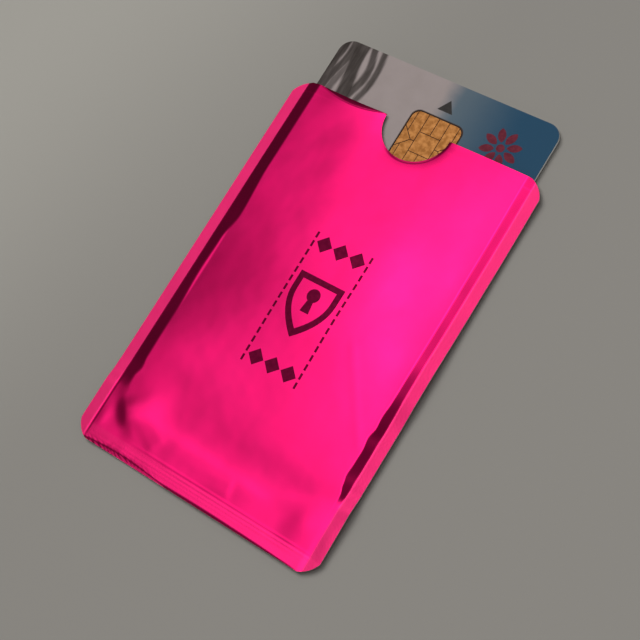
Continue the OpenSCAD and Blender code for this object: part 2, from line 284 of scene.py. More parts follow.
@dataclass(frozen=True)
class Relief:
    """Height of the sleeve's outer faces over its flat plan, in millimetres.

    A bend holds the place where the back starts to lift and the place where it is done. A curl and a
    dish hold their depth and how far they reach from the notch.
    """

    half_l: float = 45.0
    notch_r: float = 7.75
    stack: float = 0.40
    rounding: float = 0.08
    ribs: tuple[Rib, ...] = (
        Rib(-41.4, 1.20, ((-25, 0.0), (26, 0.0))),
        Rib(-33.0, 1.28, ((-25, 0.0), (0, 0.004), (10, 0.012), (20, 0.012), (26, 0.006))),
        Rib(
            -27.0,
            1.56,
            ((-25, 0.0), (-18, 0.0), (-10, 0.004), (0, 0.016), (12, 0.016), (20, 0.012), (26, 0.004)),
        ),
        Rib(
            -20.0,
            1.70,
            (
                (-25, 0.036), (-20, 0.020), (-14, 0.010), (-8, 0.004),
                (0, 0.008), (12, 0.014), (20, 0.004), (26, -0.006),
            ),
        ),
        Rib(
            -12.0,
            1.50,
            (
                (-25, 0.066), (-20, 0.052), (-12, 0.030), (0, 0.018), (6, 0.010),
                (10, -0.002), (16, -0.008), (24, -0.04), (26, -0.02),
            ),
        ),
        Rib(
            0.0,
            1.42,
            (
                (-25, 0.078), (-20, 0.070), (-12, 0.066), (-6, 0.044), (0, 0.036),
                (6, 0.018), (10, -0.02), (16, -0.07), (23, -0.078), (26, -0.01),
            ),
        ),
        Rib(
            10.0,
            1.72,
            (
                (-25, 0.055), (-20, 0.060), (-15, 0.054), (-8, 0.034), (0, 0.018), (6, 0.004),
                (9, -0.03), (13, -0.085), (17, -0.095), (21, -0.06), (26, 0.0),
            ),
        ),
        Rib(
            20.0,
            2.00,
            (
                (-25, 0.047), (-14, 0.043), (-9, 0.032), (-5, 0.010), (5, 0.0), (8, -0.02),
                (11, -0.07), (15, -0.084), (20, -0.06), (24, -0.06), (26, -0.01),
            ),
        ),
        Rib(
            30.0,
            1.85,
            (
                (-25, 0.045), (-20, 0.033), (-12, 0.036), (-7, -0.004), (0, -0.008),
                (8, -0.01), (12, -0.045), (22, -0.05), (26, -0.01),
            ),
        ),
        Rib(
            44.0,
            1.50,
            (
                (-25, 0.018), (-13, 0.032), (-9, -0.02), (-5, -0.03), (0, 0.0),
                (7, 0.03), (12, 0.026), (16, 0.012), (26, -0.02),
            ),
        ),
    )
    left_lift: tuple[Point, ...] = ((-45.0, 0.80), (-32.5, 0.78), (-28.8, 0.36), (-26.0, 0.27), (45.0, 0.26))
    bottom_lift: float = 0.80
    right_x: float = 26.4
    right_fall: tuple[Point, ...] = (
        (-45.0, 0.06), (-31.0, 0.12), (-26.4, 0.50), (-22.0, 0.58),
        (-13.0, 0.60), (-5.0, 0.40), (2.0, 0.345), (45.0, 0.335),
    )
    right_band_rise: float = 0.05
    left_foot: float = -28.1
    left_edge: tuple[Point, ...] = (
        (-45.0, -25.4), (-29.0, -25.4), (-26.5, -24.8), (-24.0, -25.1), (-14.0, -25.2),
        (-2.0, -25.8), (5.0, -25.6), (12.0, -24.5), (24.0, -25.1), (45.0, -25.3),
    )
    right_foot: float = 28.3
    right_edge: tuple[Point, ...] = (
        (-45.0, 27.2), (-29.5, 27.2), (-28.4, 27.2), (-26.4, 26.6), (-24.6, 26.2), (-22.0, 26.4),
        (-19.0, 26.5), (-16.2, 26.1), (-14.0, 26.6), (-11.5, 26.4), (-8.0, 26.6), (45.0, 26.4),
    )
    least_rise: float = 0.05
    past_edge: float = 4.0
    back_left_bend: Point = (-26.6, -28.2)
    back_right_bend: Point = (27.6, 28.3)
    back_foot_bend: Point = (-40.8, -41.5)
    notch_turn: Point = (-150.0, -70.0)
    notch_curl: Point = (0.15, 0.6)
    notch_curl_power: float = 1.4
    notch_dish: Point = (0.12, 2.8)
    swells: tuple[Swell, ...] = (
        Swell((-18.4, -33.6), (3.6, 4.4), 0.20),
        Swell((-27.2, -39.6), (1.9, 2.6), 0.10),
        Swell((24.0, -36.6), (3.0, 4.4), 0.22, -25.0),
        Swell((-17.5, 45.5), (7.0, 5.0), 0.34),
    )
    creases: tuple[Crease, ...] = (
        Crease((13.0, -1.0), (26.0, -19.5), 1.0, 0.03, 3.0),
        Crease((-25.6, -32.0), (-17.5, -39.8), 1.8, 0.08, 2.5, 4.0),
        Crease((-23.6, -34.4), (-20.8, -38.0), 1.4, 0.215, 1.6, 3.5),
        Crease((-16.0, -36.0), (13.0, -36.8), 3.2, 0.115, 3.6, 1.4),
        Crease((12.0, -36.8), (27.0, -31.6), 2.4, 0.05, 2.5, 1.2),
        Crease((15.5, -35.0), (26.8, -30.4), 0.5, 0.012, 1.5),
        Crease((-13.4, -40.2), (-11.6, -36.8), 0.8, 0.03, 1.0, 5.0),
        Crease((6.4, -40.2), (6.0, -36.8), 0.8, 0.05, 1.0, 9.0),
    )
    seal_creases: tuple[Crease, ...] = (
        Crease((-14.0, -41.0), (27.2, -41.1), 0.24, 0.020, 6.0),
        Crease((-6.0, -41.9), (27.4, -41.85), 0.24, 0.024, 6.0),
        Crease((-18.0, -42.75), (24.0, -42.6), 0.26, 0.015, 5.0),
        Crease((-27.0, -43.4), (14.0, -43.4), 0.24, 0.010, 4.0),
        Crease((-28.0, -30.0), (-28.0, -44.0), 0.20, -0.045, 1.5),
    )
    crimps: tuple[Crimp, ...] = (
        Crimp(-18.0, 10.0, 1.25, 1.4, 0.08, 1.6),
        Crimp(-19.5, 8.0, 3.1, 2.4, 0.07, -0.8),
    )
    foot_lips: tuple[Lip, ...] = (Lip(-18.0, 12.0, 1.0, 0.45), Lip(4.0, 24.0, 0.5, 0.20))
    mouth_lips: tuple[Lip, ...] = (Lip(-16.5, 8.2, 1.45, 0.80),)

    def roof(self, x: Array, y: Array) -> Array:
        """Height of the front's outer face over the pocket, smooth from rib to rib.

        Args:
            x: Places across the sleeve.
            y: Places along it.

        Returns:
            The height at each place.
        """
        places = np.array([rib.y for rib in self.ribs])
        heights = np.stack([rib.height(x) for rib in self.ribs])
        after = np.clip(np.searchsorted(places, y), 1, len(places) - 1)
        before = after - 1
        span = places[after] - places[before]

        def taken(index: Array) -> Array:
            """Heights of one rib for each place."""
            return np.take_along_axis(heights, np.clip(index, 0, len(places) - 1)[None], 0)[0]

        def slope(index: Array) -> Array:
            """Slope from rib to rib at one rib for each place."""
            low, high = np.maximum(index - 1, 0), np.minimum(index + 1, len(places) - 1)
            return (taken(high) - taken(low)) / (places[high] - places[low])

        share = np.clip((y - places[before]) / span, 0, 1)
        late = smooth(share)
        height = taken(before) * (1 - late) + taken(after) * late
        height = height + slope(before) * span * share * (1 - share) ** 2
        height = height - slope(after) * span * share**2 * (1 - share)
        for feature in self.swells + self.creases:
            height = height + feature.at(x, y)
        return height

    def right_rim(self, y: Array) -> Array:
        """Height of the front's outer face where it meets the right seal."""
        edge = np.full_like(y, self.right_x)
        return self.roof(edge, y) - through(self.right_fall, y) * (self.right_foot - self.right_x)

    def front(self, x: Array, y: Array) -> Array:
        """Height of the front's outer face.

        Args:
            x: Places across the sleeve.
            y: Places along it.

        Returns:
            The height at each place.
        """
        roof = self.roof(x, y)
        left_rim = self.stack + through(self.left_lift, y)
        left_share = (x - self.left_foot) / (through(self.left_edge, y) - self.left_foot)
        left_rise = np.maximum(roof - left_rim, self.least_rise)
        left = left_rim + left_rise * np.clip(left_share, 0, self.past_edge)
        right_rim = self.right_rim(y)
        right_share = (self.right_foot - x) / (self.right_foot - through(self.right_edge, y))
        right_rise = np.maximum(roof - right_rim, self.least_rise)
        right = right_rim + right_rise * np.clip(right_share, 0, self.past_edge)
        right = right + self.right_band_rise * np.maximum(x - self.right_foot, 0)
        height = lower_of(roof, left, self.rounding)
        height = lower_of(height, right, self.rounding / 2)
        for lip in self.mouth_lips:
            height = height + lip.at(x, self.half_l - y)
        for feature in self.seal_creases:
            height = height + feature.at(x, y)
        for feature in self.crimps + self.foot_lips:
            height = height + feature.at(x, y + self.half_l)
        return height + self.notch_lip(x, y)

    def notch_lip(self, x: Array, y: Array) -> Array:
        """Height that the curl round the thumb notch takes off, most at its lower right.

        Args:
            x: Places across the sleeve.
            y: Places along it.

        Returns:
            The height at each place.
        """
        inward = np.maximum(np.hypot(x, y - self.half_l) - self.notch_r, 0)
        toward = eased(*self.notch_turn, np.degrees(np.arctan2(y - self.half_l, x)))
        curl, curl_reach = self.notch_curl
        dish, dish_reach = self.notch_dish
        curled = curl * np.clip(1 - inward / curl_reach, 0, None) ** self.notch_curl_power
        return -toward * curled - dish * np.clip(1 - inward / dish_reach, 0, None) ** 2

    def back(self, x: Array, y: Array) -> Array:
        """Height of the back's outer face, which lies on the table away from the lifted seals.

        Args:
            x: Places across the sleeve.
            y: Places along it.

        Returns:
            The height at each place.
        """
        left = through(self.left_lift, y) * eased(*self.back_left_bend, x)
        right = (self.right_rim(y) - self.stack) * eased(*self.back_right_bend, x)
        right = right + self.right_band_rise * np.maximum(x - self.right_foot, 0)
        bottom = self.bottom_lift * eased(*self.back_foot_bend, y)
        height = np.maximum(np.maximum(left, right), bottom)
        for lip in self.foot_lips:
            height = height + lip.at(x, y + self.half_l)
        return height


# Meshes of thin sheets


def placed(name: str, data: bpy.types.ID) -> Piece:
    """New object of some data, linked to the scene.

    Args:
        name: Name of the object.
        data: Its mesh, camera or light.

    Returns:
        The object.
    """
    made = bpy.data.objects.new(name, data)
    bpy.context.scene.collection.objects.link(made)
    return made


@dataclass(frozen=True)
class Shell:
    """A closed thin sheet: the points of its two faces and the triangles that both share."""

    upper: Array
    lower: Array
    triangles: Array
    rim: Array
    sharp_angle: float = 55.0

    def build(self, name: str) -> Piece:
        """Make the mesh object, with walls along the rim and the upper face first.

        Args:
            name: Name of the new piece.

        Returns:
            The object, linked to the scene, in metres.
        """
        count = len(self.upper)
        points = np.concatenate([self.upper, self.lower]) * MM
        under = self.triangles[:, ::-1] + count
        start, end = self.rim[:, 0], self.rim[:, 1]
        first_walls = np.stack([end, start, start + count], axis=1)
        second_walls = np.stack([end, start + count, end + count], axis=1)
        walls = np.concatenate([first_walls, second_walls])
        faces = np.concatenate([self.triangles, under, walls])
        mesh = bpy.data.meshes.new(name)
        mesh.from_pydata(points.tolist(), [], faces.tolist())
        mesh.shade_smooth()
        mesh.set_sharp_from_angle(angle=math.radians(self.sharp_angle))
        return placed(name, mesh)


def resampled(loop: Array, step: float) -> Array:
    """Closed loop with points added so that no side is longer than a step.

    Args:
        loop: Corner points, one row each.
        step: Longest side of the result.

    Returns:
        The loop's own points with the added ones between them.
    """
    points = []
    for here, there in zip(loop, np.roll(loop, -1, axis=0)):
        parts = max(1, math.ceil(float(np.linalg.norm(there - here)) / step))
        shares = np.arange(parts)[:, None] / parts
        points.append(here + shares * (there - here))
    return np.concatenate(points)


def inside(points: Array, loops: Sequence[Array]) -> Array:
    """Which points lie inside the loops, where a loop inside another is a hole.

    Args:
        points: Places to test, one row each.
        loops: Closed outlines.

    Returns:
        True for each point inside.
    """
    found = np.zeros(len(points), bool)
    x, y = points[:, 0], points[:, 1]
    for loop in loops:
        for here, there in zip(loop, np.roll(loop, -1, axis=0)):
            if here[1] == there[1]:
                continue
            spans = (here[1] > y) != (there[1] > y)
            cut = here[0] + (y - here[1]) / (there[1] - here[1]) * (there[0] - here[0])
            found ^= spans & (x < cut)
    return found


def clear_of(points: Array, borders: Array, margin: float) -> Array:
    """Points that lie no nearer than a margin to any border point.

    Args:
        points: Places to test, one row each.
        borders: Border points, one row each.
        margin: Least distance to keep.

    Returns:
        The points that are kept.
    """
    kept = np.ones(len(points), bool)
    for first in range(0, len(points), BLOCK):
        block = points[first : first + BLOCK]
        apart = block[:, None, :] - borders[None, :, :]
        kept[first : first + BLOCK] = (apart**2).sum(axis=2).min(axis=1) >= margin**2
    return points[kept]


def doubled_areas(points: Array, triangles: Array) -> Array:
    """Twice the area of each flat triangle, below zero where it turns to the right."""
    a, b, c = (points[triangles[:, i]] for i in range(3))
    return (b[:, 0] - a[:, 0]) * (c[:, 1] - a[:, 1]) - (b[:, 1] - a[:, 1]) * (c[:, 0] - a[:, 0])


def renumbered(triangles: Array) -> tuple[Array, Array, Array]:
    """Triangles over only the points that they use.

    Args:
        triangles: Triangles over a longer list of points.

    Returns:
        Which points of that list they use, the triangles over these, and the rim's sides in the
        triangles' direction.
    """
    used, places = np.unique(triangles, return_inverse=True)
    kept = places.reshape(-1, 3)
    ways = np.concatenate([kept[:, [0, 1]], kept[:, [1, 2]], kept[:, [2, 0]]])
    sides = {(int(a), int(b)) for a, b in ways}
    rim = np.array([side for side in sorted(sides) if side[::-1] not in sides])
    return used, kept, rim


def triangulated(loops: Sequence[Array], fill: Array) -> tuple[Array, Array, Array]:
    """Triangles over a flat outline, through its own points and some fill points.

    Args:
        loops: Closed outlines, where a loop inside another is a hole.
        fill: Points inside the outline.

    Returns:
        The points, the triangles facing up, and the rim's sides in the triangles' direction.
    """
    borders = np.concatenate(loops)
    sides = []
    first = 0
    for loop in loops:
        count = len(loop)
        sides += [(first + i, first + (i + 1) % count) for i in range(count)]
        first += count
    flat = [Vector(point) for point in np.concatenate([borders, fill]).tolist()]
    made, _, faces, _, _, _ = delaunay_2d_cdt(flat, sides, [], 0, 1e-5)
    points = np.array([tuple(point) for point in made])
    triangles = np.array([face for face in faces if len(face) == 3])
    middles = points[triangles].mean(axis=1)
    triangles = triangles[inside(middles, loops)]
    turned = doubled_areas(points, triangles) < 0
    triangles[turned] = triangles[turned][:, ::-1]
    used, triangles, rim = renumbered(triangles)
    return points[used], triangles, rim


@dataclass(frozen=True)
class SleeveSizes:
    """Flat sizes of the sleeve, in millimetres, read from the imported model."""

    half_w: float
    half_l: float
    pocket_half_w: float
    seal_y: float
    layer_t: float
    weld_t: float
    corner_cut: float = 3.4
    corner_bow: float = 0.5
    notch_r: float = 7.75
    corner_steps: int = 6
    notch_steps: int = 72

    @classmethod
    def from_frame(cls) -> "SleeveSizes":
        """Sizes of the sleeve as it was packed.

        Returns:
            The sizes.
        """
        film_low, film_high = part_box("back_film")
        weld_low, weld_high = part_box("left_seal")
        seal_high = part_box("bottom_seal")[1]
        return cls(
            half_w=film_high.x / MM,
            half_l=film_high.y / MM,
            pocket_half_w=-weld_high.x / MM,
            seal_y=seal_high.y / MM,
            layer_t=(film_high.z - film_low.z) / MM,
            weld_t=(weld_high.z - weld_low.z) / MM,
        )

    def corner(self, turn: int) -> list[Point]:
        """Points of one cut corner, whose cut is a little bowed.

        Args:
            turn: Which corner, counted by quarter turns from the mouth's right.

        Returns:
            The corner's points, turning to the left.
        """
        chord = self.corner_cut * math.sqrt(2)
        radius = (chord**2 / 4 + self.corner_bow**2) / (2 * self.corner_bow)
        half_angle = math.asin(chord / (2 * radius))
        side = 1 if turn in (0, 3) else -1
        end = 1 if turn < 2 else -1
        out = math.radians(45 + 90 * turn)
        centre_x = side * (self.half_w - self.corner_cut / 2) + (self.corner_bow - radius) * math.cos(out)
        centre_y = end * (self.half_l - self.corner_cut / 2) + (self.corner_bow - radius) * math.sin(out)
        points = []
        for step in range(self.corner_steps + 1):
            angle = out - half_angle + 2 * half_angle * step / self.corner_steps
            points.append((centre_x + radius * math.cos(angle), centre_y + radius * math.sin(angle)))
        return points

    def outline(self) -> Array:
        """Outline of the sleeve with its thumb notch.

        Returns:
            The outline's points, turning to the left.
        """
        points = self.corner(0)
        for step in range(self.notch_steps + 1):
            angle = -math.pi * step / self.notch_steps
            points.append((self.notch_r * math.cos(angle), self.half_l + self.notch_r * math.sin(angle)))
        for turn in (1, 2, 3):
            points += self.corner(turn)
        return np.array(points)


@dataclass(frozen=True)
class Spacing:
    """How far apart the points of a sheet stand, and how far the close ones reach."""

    fine: float = 0.2
    coarse: float = 0.5
    rim: float = 0.4
    clear: float = 0.12
    side_reach: float = 4.0
    foot_reach: float = 1.2
    mouth_reach: float = 2.2
    notch_reach: float = 1.1
    ring_points: int = 90

    def line(self, *stops: float) -> Array:
        """Places along a line through four stops, coarse between the middle two and fine elsewhere."""
        steps = (self.fine, self.coarse, self.fine)
        return np.concatenate([np.arange(*stretch) for stretch in zip(stops, stops[1:], steps)])


@dataclass(frozen=True)
class SheetPlan:
    """Flat triangles of a sheet, fine enough to follow its relief."""

    points: Array
    triangles: Array
    rim: Array

    @classmethod
    def of_sleeve(cls, sizes: SleeveSizes, gaps: Spacing) -> "SheetPlan":
        """Triangles over the whole sleeve.

        Args:
            sizes: The sleeve's flat sizes.
            gaps: Spacing of the points.

        Returns:
            The plan.
        """
        slope_x = sizes.pocket_half_w - gaps.side_reach
        foot, mouth = sizes.seal_y + gaps.foot_reach, sizes.half_l - gaps.mouth_reach
        columns = gaps.line(-sizes.half_w, -slope_x, slope_x, sizes.half_w)
        rows = gaps.line(-sizes.half_l, foot, mouth, sizes.half_l)
        grid = np.stack(np.meshgrid(columns, rows), axis=-1).reshape(-1, 2)
        from_notch = np.hypot(grid[:, 0], grid[:, 1] - sizes.half_l) - sizes.notch_r
        grid = grid[from_notch > gaps.notch_reach]
        angles = -np.pi * (np.arange(gaps.ring_points) + 0.5) / gaps.ring_points
        rings = [
            np.stack([radius * np.cos(angles), sizes.half_l + radius * np.sin(angles)], axis=1)
            for radius in sizes.notch_r + np.arange(gaps.fine, gaps.notch_reach, gaps.fine)
        ]
        loop = resampled(sizes.outline(), gaps.rim)
        fill = np.concatenate([grid, *rings])
        fill = clear_of(fill[inside(fill, [loop])], loop, gaps.clear)
        return cls(*triangulated([loop], fill))

    def area(self) -> float:
        """Flat area of the plan, in square millimetres."""
        return 0.5 * float(np.abs(doubled_areas(self.points, self.triangles)).sum())

    def normals(self, height: Height, step: float = 0.04) -> Array:
        """Upward unit normals of a height over the plan.

        Args:
            height: Height of the face by place.
            step: Distance over which the slopes are read.

        Returns:
            One normal for each point.
        """
        x, y = self.points[:, 0], self.points[:, 1]
        slope_x = (height(x + step, y) - height(x - step, y)) / (2 * step)
        slope_y = (height(x, y + step) - height(x, y - step)) / (2 * step)
        found = np.stack([-slope_x, -slope_y, np.ones_like(slope_x)], axis=1)
        return found / np.linalg.norm(found, axis=1, keepdims=True)

    def raised(self, height: Height) -> Array:
        """Points of the plan lifted to a height."""
        x, y = self.points[:, 0], self.points[:, 1]
        return np.stack([x, y, height(x, y)], axis=1)

    def layer(self, height: Height, outer: float, inner: float) -> Shell:
        """One layer between two depths under a face.

        Args:
            height: Height of the face by place.
            outer: Depth of the layer's upper side under the face.
            inner: Depth of its lower side.

        Returns:
            The layer as a closed shell.
        """
        face = self.raised(height)
        normals = self.normals(height)
        return Shell(face - normals * outer, face - normals * inner, self.triangles, self.rim)


# Finishes


class NodeWriter:
    """Short calls that add nodes to a tree, with their sockets set or linked."""

    def __init__(self, tree: bpy.types.NodeTree) -> None:
        """Write into the given tree."""
        self.tree = tree

    def feed(self, socket: Socket, value: object) -> None:
        """Set or link a socket.

        Args:
            socket: The socket.
            value: Another node's output to link, or a colour, a number or a thing to set.
        """
        if isinstance(value, Socket):
            self.tree.links.new(value, socket)
        elif isinstance(value, tuple) and socket.type == "RGBA":
            socket.default_value = (*value, 1.0)
        else:
            socket.default_value = value

    def add(self, kind: str, *ordered: object, operation: str = "", **named: object) -> Node:
        """Add a node.

        Args:
            kind: Type of the node.
            ordered: What its first sockets are given.
            operation: What the node works out, where it has a choice.
            named: What its other sockets are given, by name with underscores for spaces.

        Returns:
            The node.
        """
        node = self.tree.nodes.new(kind)
        if operation:
            node.operation = operation
        for socket, value in zip(node.inputs, ordered):
            self.feed(socket, value)
        for name, value in named.items():
            self.feed(node.inputs[name.replace("_", " ")], value)
        return node

    def math(self, operation: str, *values: object) -> Socket:
        """Result of a Math node."""
        return self.add("ShaderNodeMath", *values, operation=operation).outputs[0]

    def vector(self, operation: str, *values: object, **named: object) -> Socket:
        """Result of a Vector Math node."""
        return self.add("ShaderNodeVectorMath", *values, operation=operation, **named).outputs[0]

    def step(self, value: object, low: float, high: float) -> Socket:
        """Smooth step of a value.

        Args:
            value: What is stepped.
            low: Value at which the step gives 0.
            high: Value at which it gives 1.

        Returns:
            The step's result.
        """
        node = self.add("ShaderNodeMapRange", Value=value, From_Min=low, From_Max=high)
        node.interpolation_type = "SMOOTHSTEP"
        return node.outputs[0]


class Sketch(NodeWriter):
    """A new material with one Principled shader, drawn over the object's own space."""

    def __init__(self, name: str) -> None:
        """Start a material.

        Args:
            name: Name of the material.
        """
        self.material = bpy.data.materials.new(name)
        self.material.use_nodes = True
        super().__init__(self.material.node_tree)
        self.tree.nodes.clear()
        self.shader = self.add("ShaderNodeBsdfPrincipled")
        self.add("ShaderNodeOutputMaterial", Surface=self.shader.outputs[0])
        self.place = self.add("ShaderNodeTexCoord").outputs["Object"]

    def set(self, **values: object) -> None:
        """Set or link the shader's own sockets, named with underscores for spaces."""
        for name, value in values.items():
            self.feed(self.shader.inputs[name.replace("_", " ")], value)

    def axis(self, name: str) -> Socket:
        """One object coordinate, in millimetres."""
        apart = self.add("ShaderNodeSeparateXYZ", self.place)
        return self.math("MULTIPLY", apart.outputs[name], 1 / MM)

    def noise(
        self, size: float, detail: float = 2.0, stretch: Triple = (1.0, 1.0, 1.0), seed: float = 0.0
    ) -> Socket:
        """Noise from 0 to 1.

        Args:
            size: About how large its blotches are, in millimetres.
            detail: How many finer layers are added.
            stretch: Scale of the noise along each axis.
            seed: Distance that the pattern is moved by.

        Returns:
            The noise.
        """
        moved = self.add("ShaderNodeMapping", Vector=self.place, Scale=stretch, Location=(seed,) * 3)
        node = self.add("ShaderNodeTexNoise", Vector=moved.outputs[0], Scale=1 / (size * MM))
        self.feed(node.inputs["Detail"], detail)
        self.feed(node.inputs["Roughness"], NOISE_ROUGHNESS)
        return node.outputs["Fac"]

    def blend(self, share: object, first: object, second: object) -> Socket:
        """Mix of two colours.

        Args:
            share: Share of the second colour.
            first: The first colour.
            second: The second colour.

        Returns:
            The mixed colour.
        """
        node = self.add("ShaderNodeMix", share)
        node.data_type = "RGBA"
        colours = [socket for socket in node.inputs if socket.type == "RGBA"]
        for socket, colour in zip(colours, (first, second)):
            self.feed(socket, colour)
        return next(socket for socket in node.outputs if socket.type == "RGBA")

    def bump(self, height: object, strength: float, depth: float) -> None:
        """Give the shader a bump of the given depth in millimetres."""
        node = self.add("ShaderNodeBump", Height=height, Strength=strength, Distance=depth * MM)
        self.feed(self.shader.inputs["Normal"], node.outputs[0])


@dataclass(frozen=True)
class TintedFoil:
    """Metallised film, mirror bright over the pocket and dulled where it was heat sealed."""

    name: str
    sizes: SleeveSizes
    bright: Triple = (1.0, 0.009, 0.185)
    deep: Triple = (0.94, 0.005, 0.16)
    pressed: Triple = (0.95, 0.026, 0.19)
    foot_share: float = 0.3
    seal_soft: Point = (0.1, 0.15)
    cloud_size: float = 9.0
    ripple_size: float = 5.0
    billow_size: float = 13.0
    billow_stretch: Triple = (1.0, 0.7, 1.0)
    grain_size: float = 0.35
    gloss: float = 0.1
    cloud_dull: float = 0.08
    sealed_dull: float = 0.2
    coat: float = 0.12
    billow_share: float = 2.4
    grain_share: float = 0.5
    bump_strength: float = 0.8
    bump_depth: float = 0.06

    def build(self) -> Material:
        """Make the material.

        Returns:
            The material.
        """
        sketch = Sketch(self.name)
        from_middle, y = sketch.math("ABSOLUTE", sketch.axis("X")), sketch.axis("Y")
        inner, outer = self.seal_soft
        half_w, seal_y = self.sizes.pocket_half_w, self.sizes.seal_y
        side = sketch.step(from_middle, half_w - inner, half_w + outer)
        foot = sketch.step(y, seal_y + inner, seal_y - outer)
        sealed = sketch.math("MAXIMUM", side, sketch.math("MULTIPLY", foot, self.foot_share))
        cloud = sketch.noise(self.cloud_size, 3.0)
        open_colour = sketch.blend(cloud, self.bright, self.deep)
        open_dull = sketch.math("MULTIPLY_ADD", cloud, self.cloud_dull, self.gloss)
        sketch.set(
            Base_Color=sketch.blend(sealed, open_colour, self.pressed),
            Metallic=1.0,
            Roughness=sketch.math("MULTIPLY_ADD", sealed, self.sealed_dull, open_dull),
            Coat_Weight=self.coat,
            Coat_Roughness=self.coat,
        )
        rippled = sketch.noise(self.ripple_size, 0.6, seed=3.0)
        billow = sketch.noise(self.billow_size, 0.4, self.billow_stretch, seed=11.0)
        soft = sketch.math("MULTIPLY_ADD", billow, self.billow_share, rippled)
        grain = sketch.math("SUBTRACT", sketch.noise(self.grain_size, 3.0), 0.5)
        grained = sketch.math("MULTIPLY", sealed, grain)
        height = sketch.math("MULTIPLY_ADD", grained, self.grain_share, soft)
        sketch.bump(height, self.bump_strength, self.bump_depth)
        return sketch.material


@dataclass(frozen=True)
class Speckled:
    """A finish of two close colours in fine blotches, with a soft grain."""

    name: str
    colour: Triple
    other: Triple
    blotch: float = 1.5
    roughness: float = 0.5
    metallic: float = 0.0
    specular: float = 0.5
    grain: float = 0.3
    grain_depth: float = 0.005
    worn: float = 0.12
    blotch_edge: Point = (0.3, 0.7)
    bump_strength: float = 0.5

    def build(self) -> Material:
        """Make the material.

        Returns:
            The material.
        """
        sketch = Sketch(self.name)
        blotches = sketch.step(sketch.noise(self.blotch, 4.0), *self.blotch_edge)
        sketch.set(
            Base_Color=sketch.blend(blotches, self.colour, self.other),
            Metallic=self.metallic,
            Specular_IOR_Level=self.specular,
            Roughness=sketch.math("MULTIPLY_ADD", blotches, self.worn, self.roughness - self.worn / 2),
        )
        sketch.bump(sketch.noise(self.grain, 3.0, seed=5.0), self.bump_strength, self.grain_depth)
        return sketch.material


@dataclass(frozen=True)
class BrushStroke:
    """A soft upright stroke of grey on the card, in millimetres."""

    x: float
    half_width: float
    sway: float
    wave: float
    phase: float
    strength: float


@dataclass(frozen=True)
class PaintedPlateShade:
    """Painted shade, with some dirt, in the gap round the contact plate and on the walls of its recess, in
    millimetres.
    """

    # Colour of the painted shade round the plate
    colour: Triple = (0.028, 0.012, 0.006)
    full: float = 0.22
    reach: float = 0.50
    corner: float = 1.6

    def shade(self, sketch: Sketch) -> Socket:
        """Share of the painted shade's colour over a material.

        Args:
            sketch: The material.

        Returns:
            1 at the plate's edge, and 0 a little way out from it.
        """
        low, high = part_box("contact_pads")
        past = []
        for axis, start, end in (("X", low.x, high.x), ("Y", low.y, high.y)):
            apart = sketch.math("SUBTRACT", sketch.axis(axis), (start + end) / 2 / MM)
            half = (end - start) / 2 / MM - self.corner
            over = sketch.math("SUBTRACT", sketch.math("ABSOLUTE", apart), half)
            past.append(sketch.math("MAXIMUM", over, 0.0))
        squares = [sketch.math("MULTIPLY", part, part) for part in past]
        distance = sketch.math("SQRT", sketch.math("ADD", *squares))
        return sketch.step(distance, self.corner + self.reach, self.corner + self.full)


@dataclass(frozen=True)
class CoreSheet:
    """White core of the card, with painted shade on the walls of the chip's recess where it cuts through it.
    """

    name: str
    white: Triple = (0.72, 0.72, 0.70)
    dull: Triple = (0.66, 0.66, 0.64)
    cloud_size: float = 2.0
    roughness: float = 0.55
    grain_size: float = 0.3
    bump_strength: float = 0.5
    bump_depth: float = 0.004

    def build(self) -> Material:
        """Make the material.

        Returns:
            The material.
        """
        sketch = Sketch(self.name)
        plain = sketch.blend(sketch.noise(self.cloud_size, 3.0), self.white, self.dull)
        # Painted shade over the core's recess walls round the contact plate
        gap_shaded = sketch.blend(PaintedPlateShade().shade(sketch), plain, PaintedPlateShade.colour)
        sketch.set(Base_Color=gap_shaded, Roughness=self.roughness)
        grain = sketch.noise(self.grain_size, 2.0, seed=5.0)
        sketch.bump(grain, self.bump_strength, self.bump_depth)
        return sketch.material


